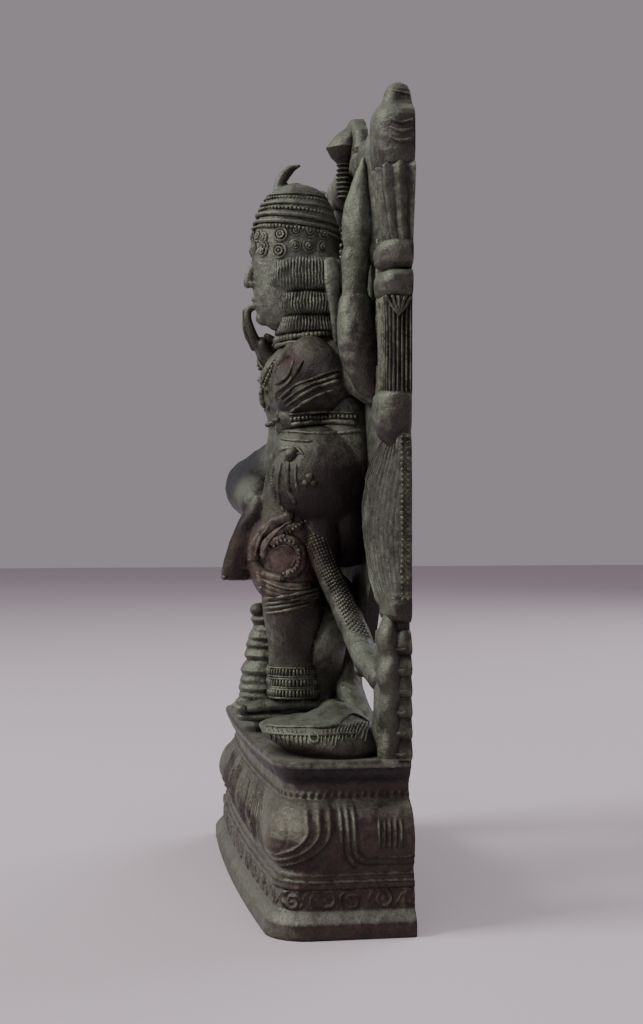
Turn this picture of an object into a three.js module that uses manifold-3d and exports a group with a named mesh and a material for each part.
// Small cast figure of a four-armed dancing deity in an openwork frame on a lotus plinth.
// Units are millimetres, +Z is up, the figure faces -Y and its own left is +X.
// The back is one flat plane. The origin is the middle of the underside.

import * as THREE from 'three';
import { mergeVertices } from 'three/addons/utils/BufferGeometryUtils.js';
import Module from 'manifold-3d';

const wasm = await Module();
wasm.setup();

// Plinth
const PLATE_W = 164;
const PLATE_D = 42.4;
const PLATE_R = 12;
const FRONT_BOW = 2;
const PLATE_T = 4.3;
const FRIEZE_IN = 3;
const LOTUS_W = 158;
const LOTUS_D = 39.4;
const PETAL_RISE = 1.5;
const SIDE_PETAL = 22;
const CORNER_PETAL = 50;
const FRONT_PETALS = 3;
const SLAB_W = 148;
const SLAB_D = 39.2;
const NECK_W = 141;
const NECK_D = 36;
const SLAB_Z = 49;
const BACK = (PLATE_D + FRONT_BOW) / 2;

// Frame
const PILLAR_IN = 57;
const PILLAR_OUT = 76;
const ARCH_TOP = 240;
const CREST_TOP = 250.5;

// Figure
const HEAD_B = 22.8;
const FOOT_Z = 53.4;

// 1 while a form is made as written, -1 while its mirror image is made
let side = 1;

// A place given by x, the distance forward of the back plane, and the height
function at(x, b, z) {
  return new THREE.Vector3(side * x, BACK - b, z);
}

// Turns a closed geometry into a solid that can be joined
function solid(geometry) {
  const g = geometry.clone();
  g.deleteAttribute('normal');
  g.deleteAttribute('uv');
  const m = mergeVertices(g, 1e-4);
  const mesh = new wasm.Mesh({
    numProp: 3,
    vertProperties: new Float32Array(m.attributes.position.array),
    triVerts: new Uint32Array(m.index.array),
  });
  mesh.merge();
  const s = new wasm.Manifold(mesh);
  return s.volume() < 0 ? null : s;
}

// Skins a row of rings that have the same number of points, with flat ends
function skin(rings) {
  const n = rings[0].length;
  const position = [];
  const index = [];
  rings.forEach((ring) => ring.forEach((p) => position.push(p.x, p.y, p.z)));
  for (let r = 0; r < rings.length - 1; r += 1) {
    for (let i = 0; i < n; i += 1) {
      const a = r * n + i;
      const b = r * n + (i + 1) % n;
      index.push(a, b, a + n, b, b + n, a + n);
    }
  }
  [0, rings.length - 1].forEach((r) => {
    const c = position.length / 3;
    const m = new THREE.Vector3();
    rings[r].forEach((p) => m.add(p));
    m.divideScalar(n);
    position.push(m.x, m.y, m.z);
    for (let i = 0; i < n; i += 1) {
      const a = r * n + i;
      const b = r * n + (i + 1) % n;
      if (r === 0) index.push(c, b, a);
      else index.push(c, a, b);
    }
  });
  const g = new THREE.BufferGeometry();
  g.setAttribute('position', new THREE.Float32BufferAttribute(position, 3));
  g.setIndex(index);
  const s = solid(g);
  if (s) return s;
  for (let i = 0; i < index.length; i += 3) [index[i], index[i + 1]] = [index[i + 1], index[i]];
  g.setIndex(index);
  return solid(g);
}

// A round-ended limb along places [x, b, z, half width, half depth]
function limb(stations, sides = 7) {
  const c = stations.map((s) => at(s[0], s[1], s[2]));
  const curve = new THREE.CatmullRomCurve3(c, false, 'centripetal');
  const steps = stations.length - 1;
  const rings = [];
  let wide = null;
  for (let i = -1; i <= steps + 1; i += 1) {
    const u = Math.min(Math.max(i, 0), steps) / steps;
    const f = u * (stations.length - 1);
    const k = Math.min(Math.floor(f), stations.length - 2);
    const w = THREE.MathUtils.lerp(stations[k][3], stations[k + 1][3], f - k);
    const d = THREE.MathUtils.lerp(stations[k][4], stations[k + 1][4], f - k);
    const t = curve.getTangent(u);
    const p = curve.getPoint(u);
    if (!wide) {
      const up = Math.abs(t.x) > 0.8 ? new THREE.Vector3(0, 0, 1) : new THREE.Vector3(1, 0, 0);
      wide = up.addScaledVector(t, -up.dot(t)).normalize();
    } else {
      wide = wide.clone().addScaledVector(t, -wide.dot(t)).normalize();
    }
    const deep = new THREE.Vector3().crossVectors(t, wide);
    const end = i < 0 || i > steps;
    const s = end ? 0.55 : 1;
    if (i < 0) p.addScaledVector(t, -0.6 * Math.min(w, d));
    if (i > steps) p.addScaledVector(t, 0.6 * Math.min(w, d));
    const ring = [];
    for (let j = 0; j < sides; j += 1) {
      const q = j / sides * Math.PI * 2;
      ring.push(p.clone()
        .addScaledVector(wide, Math.cos(q) * w * s)
        .addScaledVector(deep, Math.sin(q) * d * s));
    }
    rings.push(ring);
  }
  return skin(rings);
}

// An egg form
function egg(x, b, z, rx, rb, rz, wide = 6, high = 5) {
  const g = new THREE.SphereGeometry(1, wide, high);
  g.rotateX(Math.PI / 2);
  g.scale(rx, rb, rz);
  const c = at(x, b, z);
  g.translate(c.x, c.y, c.z);
  return solid(g);
}

// A body of level oval rings, each [z, x, b, half width, half depth]
function stack(levels, sides = 12) {
  return skin(levels.map(([z, x, b, w, d]) => {
    const ring = [];
    for (let j = 0; j < sides; j += 1) {
      const q = j / sides * Math.PI * 2;
      ring.push(at(x + Math.cos(q) * w, b + Math.sin(q) * d, z));
    }
    return ring;
  }));
}

// A drop of beads, or of stacked folds, from one height down to another
function beads(x, b, z0, z1, count, r, lean = 0, grow = 0) {
  const levels = [];
  for (let i = 0; i <= count * 2; i += 1) {
    const u = i / (count * 2);
    const w = (r + grow * u) * (i % 2 ? 1 : 0.66);
    levels.unshift([z0 + (z1 - z0) * u, x, b + lean * u, w, w]);
  }
  return stack(levels, 7);
}

// A plate cut to an upright outline of [x, z], between two distances from the back plane
function plate(outline, b0, b1) {
  const shape = new THREE.Shape(outline.map(([x, z]) => new THREE.Vector2(side * x, z)));
  const g = new THREE.ExtrudeGeometry(shape, { depth: b1 - b0, bevelEnabled: false });
  g.rotateX(Math.PI / 2);
  g.translate(0, BACK - b0, 0);
  return solid(g);
}

// One level of the plinth: straight back and sides, rounded corners, bowed front, petals
function level(z, width, depth, radius, rise = 0) {
  const h = width / 2;
  const straight = depth - radius;
  const arc = Math.PI * radius / 2;
  const front = width - 2 * radius;
  const total = 2 * straight + 2 * arc + front;
  const inner = (total - 2 * SIDE_PETAL - 2 * CORNER_PETAL) / FRONT_PETALS;
  const edges = [0, SIDE_PETAL, SIDE_PETAL + CORNER_PETAL];
  for (let i = 1; i <= FRONT_PETALS; i += 1) edges.push(edges[2] + i * inner);
  edges.push(total - SIDE_PETAL, total);
  const ring = [];
  const steps = [2, 6, 3, 3, 3, 6, 2];
  edges.slice(0, -1).forEach((from, k) => {
    for (let i = 0; i < steps[k]; i += 1) {
      const u = i / steps[k];
      const s = from + u * (edges[k + 1] - from);
      ring.push(rim(s, rise * Math.sqrt(Math.max(0, Math.sin(Math.PI * u)))));
    }
  });
  ring.push(rim(total, 0));
  function rim(s, out) {
    const a = Math.min(Math.max(s - straight, 0), arc) / radius;
    const c = Math.min(Math.max(s - straight - arc - front, 0), arc) / radius;
    const f = Math.min(Math.max(s - straight - arc, 0), front);
    const down = Math.min(s, straight);
    const back = Math.min(Math.max(s - straight - 2 * arc - front, 0), straight);
    const x = -h + radius * (1 - Math.cos(a)) + f + radius * Math.sin(c);
    const b = down + radius * Math.sin(a) - radius * (1 - Math.cos(c)) - back;
    const turn = a + c;
    const bow = FRONT_BOW * (1 - (2 * f / front - 1) ** 2);
    return at(x - Math.cos(turn) * out, b + bow + Math.sin(turn) * out, z);
  }
  return ring;
}

const parts = [];
function add(...s) {
  parts.push(...s);
}
function both(make) {
  [1, -1].forEach((s) => {
    side = s;
    parts.push(make());
  });
  side = 1;
}

// Plinth: plate, frieze, steps, lotus roll, neck and slab
add(skin([
  level(0, PLATE_W, PLATE_D, PLATE_R),
  level(PLATE_T, PLATE_W, PLATE_D, PLATE_R),
  level(7, PLATE_W - 5, PLATE_D - 2.4, PLATE_R - 1),
  level(7.4, PLATE_W - 2 * FRIEZE_IN, PLATE_D - FRIEZE_IN, PLATE_R - 1),
  level(13.4, PLATE_W - 2 * FRIEZE_IN - 2, PLATE_D - FRIEZE_IN - 0.4, PLATE_R - 1),
  level(14, PLATE_W - 2 * FRIEZE_IN - 0.4, PLATE_D - FRIEZE_IN + 0.4, PLATE_R - 1),
  level(16.2, LOTUS_W - 4, LOTUS_D - 0.8, PLATE_R - 1),
  level(19, LOTUS_W - 4, LOTUS_D - 0.8, PLATE_R - 1, PETAL_RISE * 0.5),
  level(24, LOTUS_W - 0.8, LOTUS_D, PLATE_R - 1, PETAL_RISE),
  level(28, LOTUS_W - 1, LOTUS_D - 0.6, PLATE_R - 1, PETAL_RISE),
  level(32, LOTUS_W - 4, LOTUS_D - 1.8, PLATE_R - 1, PETAL_RISE),
  level(35.4, LOTUS_W - 9, LOTUS_D - 2.8, PLATE_R - 1, PETAL_RISE * 0.7),
  level(37.6, NECK_W + 1, NECK_D + 0.4, PLATE_R - 1, PETAL_RISE * 0.3),
  level(39.6, NECK_W, NECK_D, PLATE_R - 1),
  level(43.2, NECK_W + 1, NECK_D + 0.5, PLATE_R - 1),
  level(45, SLAB_W, SLAB_D, PLATE_R),
  level(SLAB_Z - 1, SLAB_W, SLAB_D, PLATE_R),
  level(SLAB_Z, SLAB_W - 2, SLAB_D - 1, PLATE_R),
]));

// Pillars: scalloped foot, notch, scarf panel, leaf, fluted shaft, rolls, cup and finial
function scallops(x0, x1, z0, z1, count, deep) {
  const out = [[x0, z0]];
  const pitch = (z1 - z0) / count;
  for (let i = 0; i < count; i += 1) {
    for (let j = 0; j < 3; j += 1) {
      const v = (j + 0.5) / 3;
      out.push([x1 - deep + deep * Math.sin(Math.PI * v), z0 + (i + v) * pitch]);
    }
  }
  out.push([x0, z1]);
  return out;
}
both(() => plate(scallops(PILLAR_IN + 1, PILLAR_OUT, SLAB_Z - 1, 84.5, 5, 2), 0, 5.6));
both(() => stack([
  [SLAB_Z - 1, 63, 3, 7, 5.4], [60, 62, 3, 5, 4.6], [74, 62, 3, 4.6, 4.4], [85, 63, 3, 5.6, 4.6],
], 8));
both(() => plate([[50, 82], [72.5, 84], [72.5, 91], [50, 91]], 0, 4.8));
both(() => plate([[57, 90], [75.6, 90], [76, 93], [75.4, 96], [57, 96]], 0, 6.4));

// The fluttering scarf end, ribbed down its length, with a thin outer hem
function scarf() {
  const rings = [];
  const ribs = 5;
  [[93, 51, 75.6, 5], [103, 44, 76, 6.4], [117, 39, 76, 7.2], [130, 41, 76, 6.6],
    [139, 52, 76, 5], [143, 60, 75, 4]].forEach(([z, x0, x1, t]) => {
    const ring = [at(x1, 0, z), at(x0, 0, z)];
    for (let i = 0; i <= ribs * 2; i += 1) {
      const u = i / (ribs * 2);
      const body = 3.2 + (t - 3.2) * Math.sin(Math.PI * Math.min(1, (1 - u) * 1.4) / 2);
      ring.push(at(x0 + (x1 - x0) * u, Math.max(1.2, body + (i % 2 ? 0.8 : 0)), z));
    }
    rings.push(ring);
  });
  return skin(rings);
}
both(scarf);
both(() => stack([
  [139.5, 68, 2.5, 3, 3], [142, 67.5, 3, 7, 5], [147, 66.8, 3, 9, 6], [152, 66.5, 3, 9.4, 6.2],
  [154.6, 66.5, 3, 8, 5],
], 8).trimByPlane([0, -1, 0], -BACK));

function half(x, levels, sides, flute = 0) {
  return skin(levels.map(([z, w, d]) => {
    const ring = [];
    for (let j = 0; j <= sides; j += 1) {
      const q = j / sides * Math.PI;
      const f = 1 - (j % 2 ? 0 : flute);
      const e = 0.62;
      const cx = Math.sign(Math.cos(q)) * Math.abs(Math.cos(q)) ** e;
      const sx = Math.sin(q) ** e;
      ring.push(at(x + cx * w * f, sx * d * f, z));
    }
    return ring;
  }));
}
both(() => half(67, [[153.8, 9, 6.8], [155.2, 9.4, 7.8], [180, 9.6, 7.8], [181.6, 9.6, 8.4]], 10, 0.09));
both(() => half(68, [
  [181, 8.6, 7.6], [182.4, 10, 8.8], [188.4, 10, 8.8], [190, 8.6, 7.2], [191.4, 10, 8.6],
  [196.4, 10.4, 8.8], [198.2, 8.8, 7],
], 6));
both(() => half(70, [
  [197, 8, 6.6], [204, 9, 8], [212, 10.4, 9.2], [216.6, 11.2, 9.8], [218, 10, 8.4],
], 10, 0.08));
both(() => half(70, [
  [214, 1.6, 5], [219, 9.6, 9.8], [226.4, 11, 10.8], [227.4, 9.8, 9.6], [230, 10.8, 10.8],
  [231.4, 9.4, 9.6], [233, 10, 10.2], [237, 5.6, 6.2], [238.4, 6.2, 6.8], [242.6, 2.2, 3],
], 6));

// The arch that joins the pillars, with flame tongues above and a scalloped underside
function archway() {
  const n = 10;
  const top = [];
  const low = [];
  for (let i = 0; i <= n; i += 1) {
    const u = i / n;
    const x = -60 + 120 * u;
    const e = Math.sqrt(Math.max(0, 1 - (x / 61) ** 2));
    low.push([x, 206 + 25 * e]);
  }
  const tongues = 10;
  for (let i = 0; i < tongues; i += 1) {
    const x = 60 - 120 * (i / tongues);
    const w = 120 / tongues;
    const rise = 229 + 7 * Math.sqrt(1 - (x / 62) ** 2);
    top.push([x, rise], [x - w * 0.42, Math.min(ARCH_TOP, rise + 5.2)], [x - w * 0.6, rise + 4.2]);
  }
  top.push([-60, 229]);
  return plate([...low, ...top], 0, 5);
}
add(archway());

// The halo behind the head and the band of cloth that ties the hips to both pillars
function disc(x, z, r, sides) {
  const out = [];
  for (let i = 0; i < sides; i += 1) {
    const q = (i + 0.5) / sides * Math.PI * 2;
    out.push([x + r * Math.cos(q), z + r * Math.sin(q)]);
  }
  return out;
}
add(plate(disc(0, 201, 27.5, 16), 0, 4));
add(plate([
  [-60, 108], [-36, 104], [-24, 78], [-6, 74], [6, 74], [28, 78], [34, 96], [60, 104], [60, 138],
  [57, 156], [20, 178], [-20, 178], [-57, 156], [-60, 138],
], 0, 4.6));

// The mask at the top of the arch, with the beaded drop under it
add(plate([
  [-9, 233], [9, 233], [12, 239], [9.5, 245], [5, 248.6], [0, CREST_TOP], [-5, 248.6], [-9.5, 245],
  [-12, 239],
], 0, 5));
add(egg(0, 5.6, 241, 7.4, 6.8, 5.4, 8, 6));
add(beads(0, 6, 238, 225, 3, 2.8));

// Torso, neck and hips
add(stack([
  [126, 2, 18, 11, 10], [131, 1.5, 18, 17, 13.4], [137, 1, 18.4, 18.4, 14.6],
  [148, 0.2, 19.4, 12.6, 12], [158, 0, 19.8, 15, 13.4], [167, 0, 19.6, 17.6, 13.8],
  [171.5, 0, 18.6, 17, 12.4], [176, 0, 18.2, 9, 9], [184, 0, 19.6, 7.6, 8.2],
], 12));

// Head with rolled hair, curls and a domed headdress
add(stack([
  [179.6, 0, 27, 4, 4.6], [182, 0, 25.2, 7, 8.6], [188, 0, 23.4, 10.4, 12.8],
  [195, 0, HEAD_B, 11.6, 14.4], [209, 0, HEAD_B, 12.4, 14.6],
  [218, 0, 22.2, 11, 12.4], [223, 0, 22, 9.8, 10.6], [226.6, 0, 22.4, 6.6, 7.6],
  [228.2, 0, 23, 3, 4],
], 12));
add(stack([[201.4, 0, 22.6, 13, 14.4], [203, 0, 22.6, 13.8, 15], [212.6, 0, 22.4, 13.4, 14.4],
  [213.4, 0, 22.2, 12.4, 13.6], [214.4, 0, 22.2, 13, 14], [216.4, 0, 22.2, 12.4, 13.4],
  [217.4, 0, 22.2, 12.2, 13.2], [220.4, 0, 22.2, 11.4, 12.4]], 12));
add(stack([[174, 0, 19.6, 12.8, 8], [176, 0, 19.6, 13.8, 8.6], [177, 0, 19.6, 12.8, 7.6],
  [183, 0, 19.4, 12.6, 8], [184.4, 0, 19.4, 14, 9.6], [192, 0, 19.6, 13, 10],
  [193.6, 0, 20, 14.2, 12.4], [203.6, 0, 20.4, 13.6, 13]], 12));
add(limb([[0, 37, 199.6, 1.3, 0.9], [0, 38.6, 196, 1.7, 1.4], [0, 39, 194.4, 2, 1.3]], 8));
add(limb([[-2.6, 36, 188.4, 1.2, 1.4], [0, 36.8, 188.4, 1.4, 1.6], [2.6, 36, 188.4, 1.2, 1.4]], 6));
add(egg(0, 33.2, 183.6, 3.2, 3, 2.6));
add(limb([[0, 28.6, 225.4, 2.2, 1.9], [0, 27.2, 229.6, 2.4, 2], [0, 24.4, 232.8, 1.8, 1.5],
  [0, 21.2, 234.4, 0.9, 0.7]], 8));
both(() => limb([[12.6, 11.6, 204, 2, 2.4], [13.6, 10.6, 175, 1.8, 2.2]], 6));

// Front arms: the left one bent at the side, the right one raised before the chin
add(limb([[15, 21, 169.6, 7, 7.2], [20, 17, 165, 6.6, 6.8], [23.6, 10.8, 159.6, 5.8, 5.6]]));
add(limb([[23.8, 10, 158.6, 5.6, 5.4], [21.6, 18, 154.6, 5.2, 4.8], [15, 28, 152, 4.2, 3.8]]));
add(limb([[-15, 18, 170, 6.6, 7], [-22, 18, 163, 6, 6], [-26, 18.6, 155.6, 5.2, 5]]));
add(limb([[-26, 19, 155.4, 5, 4.8], [-20, 24, 159.6, 4.4, 4.4], [-12.6, 27.6, 165, 3.8, 3.8]]));
add(limb([[-11.4, 27.8, 165.6, 4, 4.2], [-9.8, 30.6, 172, 4.6, 4], [-8.6, 35, 177.6, 4, 2]], 8));
add(limb([[-10.6, 35.8, 176.6, 1.6, 1.6], [-10, 38, 181.6, 1.5, 1.5], [-9, 38.4, 187, 1.3, 1.3]], 6));
add(limb([[-7, 35.4, 177, 1.6, 1.6], [-6.6, 37.6, 182, 1.5, 1.5], [-6, 37.6, 187.6, 1.3, 1.3],
  [-5, 34, 188.6, 1.2, 1.2]], 6));
add(egg(-10.6, 31.6, 164.4, 2, 2.6, 1.6));

// Rear arms, raised at each side: hands hold a flame and a drum
both(() => limb([[12, 12, 170, 6, 6], [24, 8, 163, 5.4, 5], [37, 5, 157.6, 4.4, 4.2]]));
both(() => stack([
  [153.4, 39, 3.4, 2, 2.2], [158, 38.6, 4.6, 5.4, 4.2], [168, 37.6, 7, 7, 5.4], [180, 36.2, 8.6, 6.6, 5.2],
  [188, 35.4, 9.2, 4.6, 4.4], [192, 35, 9.2, 4.2, 4.2], [197, 35.4, 9, 4.6, 4.6],
  [202, 35.6, 8.8, 3.8, 4],
], 8));
add(stack([
  [199, 35.6, 8.4, 4.4, 3.6], [205, 36, 8.4, 6.2, 4.4], [213, 36, 8.2, 5.4, 4], [221, 36, 7.8, 3.6, 2.8],
  [230, 36.4, 6.8, 0.8, 0.8],
], 8));
add(stack([[200, -35.6, 8.4, 3.4, 3], [204, -35.6, 8.4, 5.8, 4.8], [210, -35.6, 8.4, 2.6, 2.6],
  [216, -35.6, 8.4, 5.8, 4.8], [218, -35.6, 8.4, 4.6, 4]], 8));
both(() => plate([[32, 200], [40, 200], [43, 229], [36, 233], [32, 226]], 0, 6));
both(() => plate([[27, 154], [60, 154], [60, 197], [27, 197]], 0, 3.4));
both(() => plate([[24, 190], [60, 196], [60, 206], [24, 206]], 0, 3.4));

// Standing leg, bent and turned a little outward, with its foot to the front
add(egg(19, 15.4, 129, 16, 18.4, 18.4, 12, 8));
add(limb([[11, 18, 137, 14, 14], [14, 20, 126, 15, 14.6], [15, 23.4, 114, 13, 12.4],
  [12.6, 26.4, 104, 11, 11]], 9));
add(limb([[13, 25.6, 106, 11, 11], [10.6, 24, 92, 10.4, 10.6], [8, 22.6, 79, 8.4, 8.8],
  [6.6, 22, 68, 7, 7.8], [6.4, 21.6, 60, 6.6, 7.6]]));
add(skin([[12.4, 3.4, 4.4], [15, 4.8, 7.4], [24, 5, 8.6], [31, 5.2, 6.8], [38, 6, 6], [42.6, 5.6, 5.2],
  [44, 4, 3]].map(([b, w, h]) => {
  const ring = [];
  for (let j = 0; j < 10; j += 1) {
    const q = j / 10 * Math.PI * 2;
    ring.push(at(6.4 + Math.cos(q) * w, b, FOOT_Z + Math.max(0, h / 2 + Math.sin(q) * h / 2 * 1.1)));
  }
  return ring;
})));

// Raised leg: the thigh goes out to the right, the shin crosses the front, the foot hangs
add(limb([[-6, 19, 137, 12, 12], [-20, 24, 133, 12, 11.6], [-33, 29.6, 129.4, 11, 11]]));
add(limb([[-35, 31, 128.4, 11.2, 11.6], [-24, 33.6, 127, 8.6, 8.6], [-8, 35, 125, 6.6, 6.6],
  [6, 36, 122.4, 5.2, 5.2]]));
add(skin([[124.6, 35, 2.2, 2.4], [122, 35.6, 4, 4], [116, 38.8, 4, 4.4], [109, 41.6, 3.6, 4.8],
  [102.6, 43.4, 3.4, 5.2], [99.4, 43.6, 2.8, 4.8], [98.6, 43.6, 1.4, 3]].map(([z, b, w, d]) => {
  const ring = [];
  for (let j = 0; j < 10; j += 1) {
    const q = j / 10 * Math.PI * 2;
    ring.push(at(8.6 + Math.cos(q) * w, b + Math.sin(q) * d, z));
  }
  return ring;
})));

// Cloth: belt, belt knot with its tassel, front knot, pleated fall and the cloth behind the calf
add(egg(12, 28.6, 140, 4.6, 4.6, 3.8));
add(limb([[12, 31, 137, 2.4, 2.4], [11, 32.6, 130, 2.2, 2], [10.6, 33.6, 123.6, 2.8, 2.2]], 6));
add(egg(34, 19.6, 131.4, 2.6, 3, 3.4));
add(limb([[12, 26, 118, 6, 4], [7, 34.4, 113, 6, 4.4], [5, 35.4, 104.6, 7.4, 5], [5, 32, 96, 7, 5],
  [6, 30.4, 90, 6, 5]]));
add(beads(0, 30.6, 90, 52, 6, 6.2, 5, 1.4));
add(stack([[48, -1, 27, 5, 6], [70, -1, 28, 4.6, 6], [90, 1, 27, 5, 6]], 8));
add(limb([[4, 10, 94, 6, 6], [10, 11, 82, 6, 5], [7, 12.4, 70, 5, 6.4], [4, 12.4, 58, 4, 6.4],
  [4, 12, 50, 5, 5]], 8));

// Ties from the hips to the pillars
add(limb([[16, 20, 114, 5.4, 5.2], [20, 15.6, 103, 5.2, 5], [27, 11.6, 92, 4.8, 4.6],
  [40, 8, 81, 4.6, 4.4], [53, 5.6, 74, 4.4, 4], [62, 4.4, 69, 4, 3.4]]));
add(limb([[-10, 18, 118, 5.4, 5.2], [-18, 13, 105, 5.2, 5], [-27, 9.6, 93, 4.8, 4.6],
  [-40, 7, 82, 4.6, 4.4], [-53, 5.4, 75, 4.4, 4], [-62, 4.4, 70, 4, 3.4]]));
add(stack([[110, -14, 6, 8, 6], [122, -12, 8, 11, 8], [140, -8, 8, 10, 8]], 8));
add(limb([[14, 9, 158, 5, 6], [18, 6, 150, 6, 5], [24, 4.6, 142, 8, 4.6]], 7));

// The dwarf who lies along the slab, his head at the left end
add(stack([[47.6, 51, 20.6, 19.6, 17.4], [50, 51, 21, 21, 18.6], [55, 50.6, 21, 20, 18],
  [58.6, 50, 19.6, 16, 13.4], [61.8, 50, 17.4, 8, 6]], 12));
add(limb([[36, 14, 52, 8, 6.4], [18, 13, 52, 9, 6], [0, 14, 51.4, 9, 5], [-22, 14, 52.4, 9, 6.6],
  [-44, 13, 50.6, 6, 5], [-62, 12, 50, 4.4, 4]]));
add(limb([[4, 7, 75, 5, 5], [12, 6.4, 64, 5, 5], [30, 5, 55.4, 3.8, 4], [50, 4, 50.4, 3, 3]]));

// Everything is one casting
let body = parts[0];
parts.slice(1).forEach((s) => {
  body = body.add(s);
});
body = body.trimByPlane([0, -1, 0], -BACK).trimByPlane([0, 0, 1], 0);

const out = body.getMesh();
const geometry = new THREE.BufferGeometry();
geometry.setAttribute('position', new THREE.Float32BufferAttribute(out.vertProperties, 3));
geometry.setIndex(Array.from(out.triVerts));
geometry.computeVertexNormals();

const bronze = new THREE.MeshStandardMaterial({ color: 0x4a453f, roughness: 0.62, metalness: 0.6 });
bronze.name = 'bronze';

const statue = new THREE.Mesh(geometry, bronze);
statue.name = 'shiva_statue';

const root = new THREE.Group();
root.name = 'dancing_deity_statue';
root.add(statue);

export default root;
